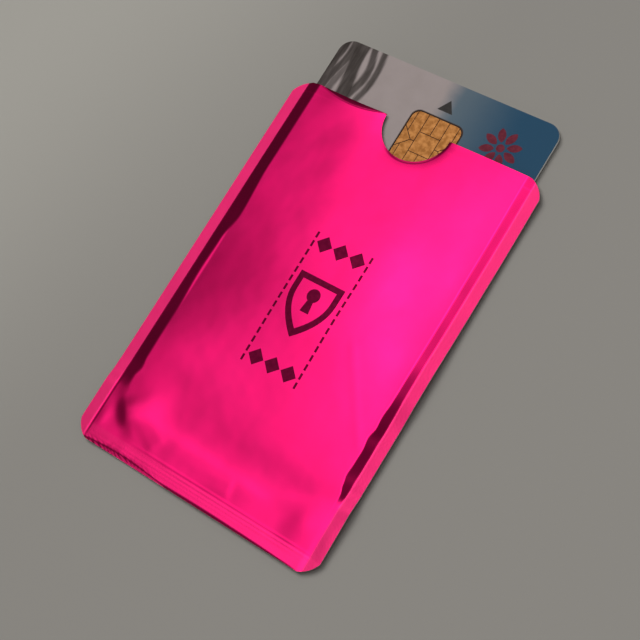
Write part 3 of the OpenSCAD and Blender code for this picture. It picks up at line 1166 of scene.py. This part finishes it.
@dataclass(frozen=True)
class PrintedCard:
    """Laminated face of the card: a pale panel with grey strokes, and a blue panel at its right."""

    name: str
    pale: Triple = (0.285, 0.240, 0.232)
    warm: Triple = (0.235, 0.196, 0.186)
    light_blue: Triple = (0.070, 0.100, 0.125)
    deep_blue: Triple = (0.006, 0.044, 0.088)
    grey: Triple = (0.022, 0.016, 0.013)
    panel_start: float = 0.2
    panel_full: float = 4.6
    deep_x: float = 20.0
    strokes: tuple[BrushStroke, ...] = (
        BrushStroke(-26.4, 1.6, 0.4, 4.2, 0.4, 1.0),
        BrushStroke(-24.2, 1.1, 1.0, 3.1, 2.6, 0.95),
        BrushStroke(-22.4, 0.9, 1.2, 4.4, 0.9, 0.75),
        BrushStroke(-20.6, 1.7, 0.8, 3.6, 1.9, 1.0),
        BrushStroke(-18.3, 0.9, 1.1, 3.2, 4.4, 0.9),
        BrushStroke(-16.6, 0.8, 1.2, 4.8, 3.4, 0.9),
    )

    paper_size: float = 4.0
    streak_size: float = 1.1
    streak_stretch: Triple = (1.0, 0.16, 1.0)
    drift_size: float = 6.0
    ragged: float = 0.9
    stroke_soft: Point = (-0.35, 0.45)
    worn_ink: Point = (0.5, 0.68)
    wander: float = 3.0
    blue_lead: float = 2.0
    roughness: float = 0.42
    specular: float = 0.18
    coat: float = 0.05
    coat_roughness: float = 0.3
    grain_size: float = 0.5
    bump_strength: float = 0.4
    bump_depth: float = 0.004

    def inked(self, sketch: Sketch) -> Socket:
        """Share of grey that the strokes lay over the paper.

        Args:
            sketch: The material that they are drawn in.

        Returns:
            The share at each place.
        """
        x, y = sketch.axis("X"), sketch.axis("Y")
        streaks = sketch.noise(self.streak_size, 4.0, self.streak_stretch, seed=2.0)
        drawn: object = 0.0
        for stroke in self.strokes:
            waved = sketch.math("SINE", sketch.math("MULTIPLY_ADD", y, 1 / stroke.wave, stroke.phase))
            middle = sketch.math("MULTIPLY_ADD", waved, stroke.sway, stroke.x)
            apart = sketch.math("ABSOLUTE", sketch.math("SUBTRACT", x, middle))
            reach = stroke.half_width - self.ragged / 2
            edge = sketch.math("MULTIPLY_ADD", streaks, self.ragged, reach)
            cover = sketch.step(sketch.math("SUBTRACT", edge, apart), *self.stroke_soft)
            drawn = sketch.math("MAXIMUM", drawn, sketch.math("MULTIPLY", cover, stroke.strength))
        return sketch.math("MULTIPLY", drawn, sketch.math("MULTIPLY_ADD", streaks, *self.worn_ink))

    def build(self) -> Material:
        """Make the material.

        Returns:
            The material.
        """
        sketch = Sketch(self.name)
        paper = sketch.blend(sketch.noise(self.paper_size, 4.0), self.pale, self.warm)
        left = sketch.blend(self.inked(sketch), paper, self.grey)
        drift = sketch.noise(self.drift_size, 3.0, seed=7.0)
        wander = sketch.math("MULTIPLY_ADD", drift, self.wander, -self.wander / 2)
        place = sketch.math("ADD", sketch.axis("X"), wander)
        deep = sketch.step(place, self.panel_full - self.blue_lead, self.deep_x)
        blue = sketch.blend(deep, self.light_blue, self.deep_blue)
        panel = sketch.step(place, self.panel_start, self.panel_full)
        printed = sketch.blend(panel, left, blue)
        sketch.set(
            # Painted shade, with some dirt, in the gap round the contact plate
            Base_Color=sketch.blend(PaintedPlateShade().shade(sketch), printed, PaintedPlateShade.colour),
            Roughness=self.roughness,
            Specular_IOR_Level=self.specular,
            Coat_Weight=self.coat,
            Coat_Roughness=self.coat_roughness,
        )
        grain = sketch.noise(self.grain_size, 3.0, seed=4.0)
        sketch.bump(grain, self.bump_strength, self.bump_depth)
        return sketch.material


@dataclass(frozen=True)
class SleeveFinishes:
    """Materials of the sleeve, by the part that they dress."""

    film: Material
    foil: Material
    liner: Material
    weld: Material
    ink: Material

    @classmethod
    def of(cls, sizes: SleeveSizes) -> "SleeveFinishes":
        """Make the sleeve's materials.

        Args:
            sizes: The sleeve's flat sizes.

        Returns:
            The materials.
        """
        finishes = {
            "film": TintedFoil("magenta_metallised_film", sizes),
            "foil": Speckled(
                "bright_rolled_foil", (0.82, 0.82, 0.84), (0.76, 0.76, 0.78), 3.0, 0.25, 1.0
            ),
            "liner": Speckled("satin_seal_liner", (0.55, 0.55, 0.57), (0.48, 0.48, 0.5), 4.0, 0.45),
            "weld": Speckled("pressed_weld", (0.6, 0.35, 0.42), (0.5, 0.3, 0.36), 1.0, 0.5),
            "ink": Speckled(
                "maroon_print_ink",
                (0.150, 0.004, 0.031),
                (0.122, 0.003, 0.026),
                0.8,
                0.34,
                1.0,
                grain=0.25,
            ),
        }
        return cls(**{part: finish.build() for part, finish in finishes.items()})


# Sub-assemblies


def dress(piece: Piece, finish: Material) -> None:
    """Give a piece one material in place of all that it had."""
    piece.data.materials.clear()
    piece.data.materials.append(finish)


def report(piece: Piece) -> None:
    """Log a finished piece and how many faces it has."""
    LOG.info("%s: %d faces", piece.name, len(piece.data.polygons))


def fit(piece: Piece, finish: Material, body: str, node: str) -> Piece:
    """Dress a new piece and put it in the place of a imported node.

    Args:
        piece: The piece.
        finish: Its material.
        body: The body that it rides on.
        node: The node that it stands for.

    Returns:
        The piece.
    """
    dress(piece, finish)
    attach(piece, body)
    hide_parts(node)
    report(piece)
    return piece


class Side(Enum):
    """The two sides of the sleeve, by the name that its nodes start with."""

    FRONT = "front"
    BACK = "back"


@dataclass
class Sheets:
    """The front and back laminates, each of a film, a foil and a liner, and the welds between them."""

    sizes: SleeveSizes
    relief: Relief
    finishes: SleeveFinishes
    body: str = "sleeve"

    def build(self) -> Piece:
        """Make every sheet and weld.

        Returns:
            The front film.
        """
        plan = SheetPlan.of_sleeve(self.sizes, Spacing())
        front_film = self.laminate(Side.FRONT, plan)
        self.laminate(Side.BACK, plan)
        self.welds(plan)
        return front_film

    def laminate(self, side: Side, plan: SheetPlan) -> Piece:
        """Make the three sheets of one side.

        Args:
            side: Which side.
            plan: Flat triangles of the sheets.

        Returns:
            The side's film.
        """
        slots = {"film": "coloured_film", "foil": "shield_foil", "liner": "liner"}
        made = {}
        for depth, (name, slot) in enumerate(slots.items()):
            outer, inner = depth * self.sizes.layer_t, (depth + 1) * self.sizes.layer_t
            if side is Side.FRONT:
                shell = plan.layer(self.relief.front, outer, inner)
            else:
                shell = plan.layer(self.relief.back, -inner, -outer)
            piece = shell.build(f"sleeve_{side.value}_{name}")
            finish = getattr(self.finishes, name)
            made[name] = fit(piece, finish, self.body, f"{side.value}_{name}")
        area = plan.area() * MM**2
        return made["film"]

    def welds(self, plan: SheetPlan) -> None:
        """Make the heat seals that join the two laminates.

        Args:
            plan: Flat triangles of the sheets.
        """
        sizes = self.sizes
        middles = plan.points[plan.triangles].mean(axis=1)
        past_side = np.abs(middles[:, 0]) > sizes.pocket_half_w
        areas = {
            "left_seal": past_side & (middles[:, 0] < 0),
            "right_seal": past_side & (middles[:, 0] > 0),
            "bottom_seal": ~past_side & (middles[:, 1] < sizes.seal_y),
        }
        depth = 3 * sizes.layer_t
        upper = plan.raised(self.relief.front) - plan.normals(self.relief.front) * depth
        lower = plan.raised(self.relief.back) + plan.normals(self.relief.back) * depth
        for node, chosen in areas.items():
            used, kept, rim = renumbered(plan.triangles[chosen])
            piece = Shell(upper[used], lower[used], kept, rim).build(f"sleeve_{node}")
            fit(piece, self.finishes.weld, self.body, node)


@dataclass(frozen=True)
class Drape:
    """Geometry Nodes that lay flat printing on the film and give it the thickness of ink."""

    sheet: Piece
    finish: Material
    sunk: float = 0.004
    ink_t: float = 0.022
    above: float = 20.0
    same_place: float = 1e-4
    sharp_angle: float = 40.0

    def begin(self, name: str, own: dict[str, str]) -> tuple[NodeWriter, bpy.types.NodeOutputs]:
        """Start a tree with the inputs that every draped print has, and a print's own.

        Args:
            name: Name of the new tree.
            own: Kind of each of the print's own inputs.

        Returns:
            The tree's writer and its inputs.
        """
        tree = bpy.data.node_groups.new(name, "GeometryNodeTree")
        shared = {"Geometry": "Geometry", "Sheet": "Object", "Finish": "Material", "Sunk": "Float"}
        for label, kind in {**shared, "Ink Thickness": "Float", **own}.items():
            tree.interface.new_socket(label, in_out="INPUT", socket_type=f"NodeSocket{kind}")
        tree.interface.new_socket("Geometry", in_out="OUTPUT", socket_type="NodeSocketGeometry")
        return NodeWriter(tree), tree.nodes.new("NodeGroupInput").outputs

    def end(self, nodes: NodeWriter, given: bpy.types.NodeOutputs, flat: Socket) -> None:
        """Add the nodes that drape and thicken flat faces, up to the tree's output.

        Args:
            nodes: The tree's writer.
            given: The tree's inputs.
            flat: The flat faces.
        """
        position = nodes.add("GeometryNodeInputPosition").outputs[0]
        ray = nodes.add(
            "GeometryNodeRaycast",
            Target_Geometry=nodes.add("GeometryNodeObjectInfo", given["Sheet"]).outputs["Geometry"],
            Source_Position=nodes.vector("ADD", position, (0, 0, self.above * MM)),
            Ray_Direction=(0, 0, -1),
            Ray_Length=2 * self.above * MM,
        )
        sunk = nodes.vector("SCALE", ray.outputs["Hit Normal"], Scale=given["Sunk"])
        base = nodes.vector("SUBTRACT", ray.outputs["Hit Position"], sunk)
        laid = nodes.add("GeometryNodeSetPosition", flat, Position=base).outputs[0]
        thick = nodes.add("GeometryNodeExtrudeMesh", laid, Offset_Scale=given["Ink Thickness"])
        thick.inputs["Individual"].default_value = False
        under = nodes.add("GeometryNodeFlipFaces", laid)
        both = nodes.add("GeometryNodeJoinGeometry")
        for part in (thick, under):
            nodes.feed(both.inputs[0], part.outputs["Mesh"])
        closed = nodes.add("GeometryNodeMergeByDistance", both.outputs[0], Distance=self.same_place * MM)
        real = nodes.add("GeometryNodeRealizeInstances", closed.outputs[0])
        inked = nodes.add("GeometryNodeSetMaterial", real.outputs[0], Material=given["Finish"])
        nodes.add("NodeGroupOutput", inked.outputs[0])

    def run(self, nodes: NodeWriter, name: str, flat: bpy.types.Mesh, own: dict[str, object]) -> Piece:
        """Run a tree over a flat mesh and keep its result as a plain piece.

        Args:
            nodes: Writer of the finished tree.
            name: Name of the new piece.
            flat: Mesh that the tree starts from.
            own: Values of the print's own inputs.

        Returns:
            The piece, linked to the scene.
        """
        holder = placed(name + "_flat", flat)
        modifier = holder.modifiers.new("drape", "NODES")
        modifier.node_group = nodes.tree
        shared = {"Sheet": self.sheet, "Finish": self.finish, "Sunk": self.sunk * MM}
        values = {**shared, "Ink Thickness": self.ink_t * MM, **own}
        for item in nodes.tree.interface.items_tree:
            if item.in_out == "INPUT" and item.name in values:
                modifier[item.identifier] = values[item.name]
        graph = bpy.context.evaluated_depsgraph_get()
        mesh = bpy.data.meshes.new_from_object(holder.evaluated_get(graph), depsgraph=graph)
        holder.modifiers.clear()
        bpy.data.objects.remove(holder)
        mesh.name = name
        mesh.set_sharp_from_angle(angle=math.radians(self.sharp_angle))
        return placed(name, mesh)


@dataclass(frozen=True)
class DashRows:
    """The two rows of dashes beside the shield, in millimetres."""

    width: float = 0.5
    length: float = 1.4
    count: int = 15
    cuts: int = 5

    def build(self, drape: Drape) -> Piece:
        """Repeat one dash along both rows, and lay them on the film.

        Args:
            drape: What lays them on the film.

        Returns:
            The piece.
        """
        low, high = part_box("dash_print")
        width, length = self.width * MM, self.length * MM
        own = {
            "Dash Width": ("Float", width),
            "Dash Length": ("Float", length),
            "Pitch": ("Float", (high.y - low.y - length) / (self.count - 1)),
            "Dash Count": ("Int", self.count),
            "First Place": ("Vector", (low.x + width / 2, low.y + length / 2, 0.0)),
            "Row Spacing": ("Float", high.x - low.x - width),
        }
        nodes, given = drape.begin("dash_rows", {name: kind for name, (kind, _) in own.items()})
        dash = nodes.add("GeometryNodeMeshGrid", given["Dash Width"], given["Dash Length"], 3, self.cuts)
        pitch = nodes.add("ShaderNodeCombineXYZ", Y=given["Pitch"]).outputs[0]
        spacing = nodes.add("ShaderNodeCombineXYZ", X=given["Row Spacing"]).outputs[0]
        along = nodes.add("GeometryNodeMeshLine", given["Dash Count"], Offset=pitch)
        nodes.feed(along.inputs["Start Location"], given["First Place"])
        across = nodes.add("GeometryNodeMeshLine", 2, Offset=spacing)
        repeat = "GeometryNodeInstanceOnPoints"
        row = nodes.add(repeat, along.outputs[0], Instance=dash.outputs["Mesh"])
        rows = nodes.add(repeat, across.outputs[0], Instance=row.outputs[0])
        real = nodes.add("GeometryNodeRealizeInstances", rows.outputs[0])
        drape.end(nodes, given, real.outputs[0])
        sizes = {name: size for name, (_, size) in own.items()}
        return drape.run(nodes, "print_dash_rows", bpy.data.meshes.new("no_faces"), sizes)


@dataclass(frozen=True)
class ShieldPrint:
    """The shield, its keyhole and the diamonds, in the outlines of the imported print."""

    node: str = "shield_print"
    spacing: float = 0.35
    clear: float = 0.14

    def build(self, drape: Drape) -> Piece:
        """Fill the outlines with small triangles, and lay them on the film.

        Args:
            drape: What lays them on the film.

        Returns:
            The piece.
        """
        loops = [resampled(loop, self.spacing) for loop in top_outlines(self.node)]
        low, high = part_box(self.node)
        columns = np.arange(low.x / MM, high.x / MM, self.spacing)
        lines = np.arange(low.y / MM, high.y / MM, self.spacing)
        fill = np.stack(np.meshgrid(columns, lines), axis=-1).reshape(-1, 2)
        fill = clear_of(fill[inside(fill, loops)], np.concatenate(loops), self.clear)
        points, triangles, _ = triangulated(loops, fill)
        flat = bpy.data.meshes.new("shield_flat")
        corners = np.column_stack([points, np.zeros(len(points))]) * MM
        flat.from_pydata(corners.tolist(), [], triangles.tolist())
        nodes, given = drape.begin("shield", {})
        drape.end(nodes, given, given["Geometry"])
        return drape.run(nodes, "print_shield", flat, {})


def top_outlines(node: str) -> list[Array]:
    """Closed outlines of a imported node's upper faces, in millimetres.

    Args:
        node: Name of the node.

    Returns:
        One loop of corners for each outline, with straight runs kept as single sides.
    """
    shape = bmesh.new()
    shape.from_mesh(bpy.data.objects[node].data)
    bmesh.ops.remove_doubles(shape, verts=shape.verts, dist=SAME_PLACE)
    shape.normal_update()
    top = {face for face in shape.faces if face.normal.z > FACES_UP}
    follow = {}
    for face in top:
        for loop in face.loops:
            if not any(other in top and other is not face for other in loop.edge.link_faces):
                follow[loop.vert.index] = loop.link_loop_next.vert.index
    places = {vert.index: (vert.co.x / MM, vert.co.y / MM) for vert in shape.verts}
    shape.free()
    loops = []
    while follow:
        start, here = follow.popitem()
        chain = [start]
        while here != start:
            chain.append(here)
            here = follow.pop(here)
        loops.append(np.array([places[index] for index in chain]))
    return loops


@dataclass
class Printing:
    """The dark printing on the front of the sleeve."""

    film: Piece
    ink: Material
    body: str = "sleeve"

    def build(self) -> None:
        """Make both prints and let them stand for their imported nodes."""
        drape = Drape(self.film, self.ink)
        made = {"shield_print": ShieldPrint().build(drape), "dash_print": DashRows().build(drape)}
        for node, piece in made.items():
            fit(piece, self.ink, self.body, node)


@dataclass
class Card:
    """The smart card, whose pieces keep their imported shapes."""

    def build(self) -> None:
        """Dress every piece of the card."""
        paper, warm = PrintedCard.pale, PrintedCard.warm
        gold = ((0.52, 0.225, 0.070), (0.35, 0.138, 0.036))
        epoxy = ((0.045, 0.014, 0.004), (0.030, 0.010, 0.003))
        arrow = ((0.020, 0.018, 0.017), (0.030, 0.027, 0.025))
        red = ((0.125, 0.009, 0.022), (0.09, 0.007, 0.018))
        stripe = ((0.012, 0.01, 0.01), (0.02, 0.016, 0.015))
        panel = ((0.7, 0.7, 0.66), (0.62, 0.62, 0.6))
        finishes = {
            PrintedCard("printed_card_face"): ["card_front_overlay"],
            Speckled("plain_card_back", paper, warm, 4.0, 0.42): ["card_back_overlay"],
            CoreSheet("white_core_sheet"): ["card_front_core", "card_back_core"],
            Speckled("inlay_sheet", (0.75, 0.75, 0.7), (0.7, 0.7, 0.66), 2.0, 0.6): ["antenna_inlay"],
            Speckled("etched_copper", (0.72, 0.35, 0.18), (0.6, 0.27, 0.13), 1.0, 0.35, 1.0): [
                "antenna_coil",
                "antenna_bridge",
            ],
            Speckled("worn_contact_gold", *gold, 1.1, 0.38, 1.0, grain=0.15): ["contact_pads"],
            Speckled("dark_epoxy", *epoxy, 0.6, 0.5, specular=0.2): ["chip_carrier"],
            Speckled("polished_silicon", (0.2, 0.21, 0.24), (0.17, 0.18, 0.21), 1.0, 0.2, 0.8): ["chip_die"],
            Speckled("cast_resin", (0.02, 0.02, 0.021), (0.03, 0.03, 0.03), 0.8, 0.4): ["chip_resin"],
            Speckled("silver_glue", (0.4, 0.4, 0.41), (0.3, 0.3, 0.31), 0.3, 0.5, 0.6): ["antenna_posts"],
            Speckled("arrow_ink", *arrow, 0.6, 0.5, specular=0.2): ["insert_arrow"],
            Speckled("rosette_ink", *red, 0.7, 0.5, specular=0.2): ["rosette_print"],
            Speckled("magnetic_coating", *stripe, 2.0, 0.35): ["magnetic_stripe"],
            Speckled("signature_coating", *panel, 1.2, 0.75): ["signature_panel"],
        }
        for finish, nodes in finishes.items():
            made = finish.build()
            for node in nodes:
                piece = bpy.data.objects[node]
                dress(piece, made)
                report(piece)


# Studio


@dataclass(frozen=True)
class Flag:
    """A dark cloth beside the table: the way to it, and how far it reaches in degrees, sharp and soft."""

    way: Triple
    sharp: float
    soft: float


@dataclass(frozen=True)
class Studio:
    """Camera, floor, lamp and surroundings."""

    camera_at: Triple = (117.9415, -40.3861, 250.0178)
    aim: Triple = (3.356, -0.021, 0.0)
    roll: float = -40.6
    lens: float = 77.199
    sensor: float = 36.0
    clip: Point = (0.01, 100.0)
    overhead: Triple = (-0.10, 0.20, 0.975)
    glow: float = 2.65
    glow_stops: tuple[Point, ...] = (
        (0, 1.0), (3, 0.95), (6, 0.82), (9, 0.70), (12, 0.635), (15, 0.58), (18, 0.52),
        (20, 0.475), (22, 0.42), (24, 0.37), (26, 0.30), (28, 0.225), (30, 0.175),
        (33, 0.12), (36, 0.085), (40, 0.06), (50, 0.04), (60, 0.028), (90, 0.020),
    )
    wall_glow: float = 0.19
    wall_z: Point = (0.66, 0.42)
    flags: tuple[Flag, ...] = (
        Flag((-0.90, 0.15, 0.40), 20.0, 32.0),
        Flag((-0.20, 0.98, 0.05), 20.0, 28.0),
    )
    lamp_from: Triple = (-0.75, 0.35, 1.0)
    lamp_strength: float = 2.4
    lamp_angle: float = 34.0
    floor_half: float = 6.0
    floor_roughness: float = 0.7
    floor_grain: float = 0.6
    floor_bump: Point = (0.4, 0.01)
    # The floor's own colour, and the lighter colour of painted light towards the lamp's side
    floor_colour: Triple = (0.214, 0.203, 0.184)
    floor_painted_light: Triple = (0.305, 0.292, 0.262)
    painted_light_reach: Point = (15.0, 110.0)
    painted_light_way: Point = (-1.0, 0.3)

    def build(self) -> None:
        """Make the camera, the surroundings, the lamp and the floor."""
        self.make_camera()
        self.make_world()
        self.make_lamp()
        self.make_floor()
        bpy.context.scene.view_settings.view_transform = "Standard"

    def make_camera(self) -> None:
        """Make the camera at the photograph's place."""
        data = bpy.data.cameras.new("camera")
        data.sensor_width = self.sensor
        data.lens = self.lens
        data.clip_start, data.clip_end = self.clip
        camera = placed("camera", data)
        place = Vector(self.camera_at) * MM
        look = Vector(self.aim) * MM - place
        facing = look.to_track_quat("-Z", "Y").to_matrix()
        turned = facing @ Matrix.Rotation(math.radians(self.roll), 3, "Z")
        camera.matrix_world = Matrix.Translation(place) @ turned.to_4x4()
        bpy.context.scene.camera = camera

    def make_world(self) -> None:
        """Make the surroundings: a soft light overhead, and faintly lit walls between dark flags."""
        world = bpy.data.worlds.new("studio")
        world.use_nodes = True
        bpy.context.scene.world = world
        nodes = NodeWriter(world.node_tree)
        nodes.tree.nodes.clear()
        way = nodes.add("ShaderNodeTexCoord").outputs["Generated"]
        from_overhead = self.degrees_from(nodes, way, self.overhead)
        ramp = nodes.add("ShaderNodeValToRGB", nodes.math("DIVIDE", from_overhead, TO_HORIZON))
        stops = ramp.color_ramp.elements
        while len(stops) < len(self.glow_stops):
            stops.new(0.5)
        for stop, (degrees, value) in zip(stops, self.glow_stops):
            stop.position = degrees / TO_HORIZON
            stop.color = (value, value, value, 1.0)
        wall = nodes.step(nodes.add("ShaderNodeSeparateXYZ", way).outputs["Z"], *self.wall_z)
        for flag in self.flags:
            past = nodes.step(self.degrees_from(nodes, way, flag.way), flag.sharp, flag.soft)
            wall = nodes.math("MULTIPLY", wall, past)
        lit = nodes.math("MULTIPLY_ADD", wall, self.wall_glow, ramp.outputs[0])
        background = nodes.add("ShaderNodeBackground", lit, self.glow)
        nodes.add("ShaderNodeOutputWorld", Surface=background.outputs[0])

    def degrees_from(self, nodes: NodeWriter, way: Socket, axis: Triple) -> Socket:
        """Angle between each way out and an axis, in degrees."""
        dot = nodes.add("ShaderNodeVectorMath", way, Vector(axis).normalized(), operation="DOT_PRODUCT")
        return nodes.math("MULTIPLY", nodes.math("ARCCOSINE", dot.outputs["Value"]), 180 / math.pi)

    def make_lamp(self) -> None:
        """Make the soft lamp that throws the shadows."""
        data = bpy.data.lights.new("soft_lamp", "SUN")
        data.energy = self.lamp_strength
        data.angle = math.radians(self.lamp_angle)
        lamp = placed("soft_lamp", data)
        lamp.rotation_mode = "QUATERNION"
        lamp.rotation_quaternion = (-Vector(self.lamp_from)).to_track_quat("-Z", "Y")
        lamp.visible_glossy = False

    def make_floor(self) -> None:
        """Make the pale floor, with painted light towards the lamp's side."""
        half = self.floor_half
        corners = [(x * half, y * half, 0) for x, y in ((-1, -1), (1, -1), (1, 1), (-1, 1))]
        mesh = bpy.data.meshes.new("floor")
        mesh.from_pydata(corners, [], [(0, 1, 2, 3)])
        floor = placed("floor", mesh)
        dress(floor, self.floor_finish())

    def floor_finish(self) -> Material:
        """Plain pale finish with painted light: a little lighter towards the side that the lamp stands on.

        Returns:
            The material.
        """
        sketch = Sketch("pale_floor")
        along_x = sketch.math("MULTIPLY", sketch.axis("X"), self.painted_light_way[0])
        across = sketch.math("MULTIPLY_ADD", sketch.axis("Y"), self.painted_light_way[1], along_x)
        # Painted light: the floor grows lighter towards the lamp
        shade = sketch.blend(sketch.step(across, *self.painted_light_reach), self.floor_colour, self.floor_painted_light)
        sketch.set(Base_Color=shade, Roughness=self.floor_roughness)
        sketch.bump(sketch.noise(self.floor_grain, 3.0, seed=5.0), *self.floor_bump)
        return sketch.material


def main() -> None:
    """Build every sub-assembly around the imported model."""
    logging.basicConfig(level=logging.INFO, format="%(name)s: %(message)s")
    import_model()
    Studio().build()
    sizes = SleeveSizes.from_frame()
    relief = Relief()
    finishes = SleeveFinishes.of(sizes)
    film = Sheets(sizes, relief, finishes).build()
    Printing(film, finishes.ink).build()
    Card().build()


if __name__ == "__main__":
    main()
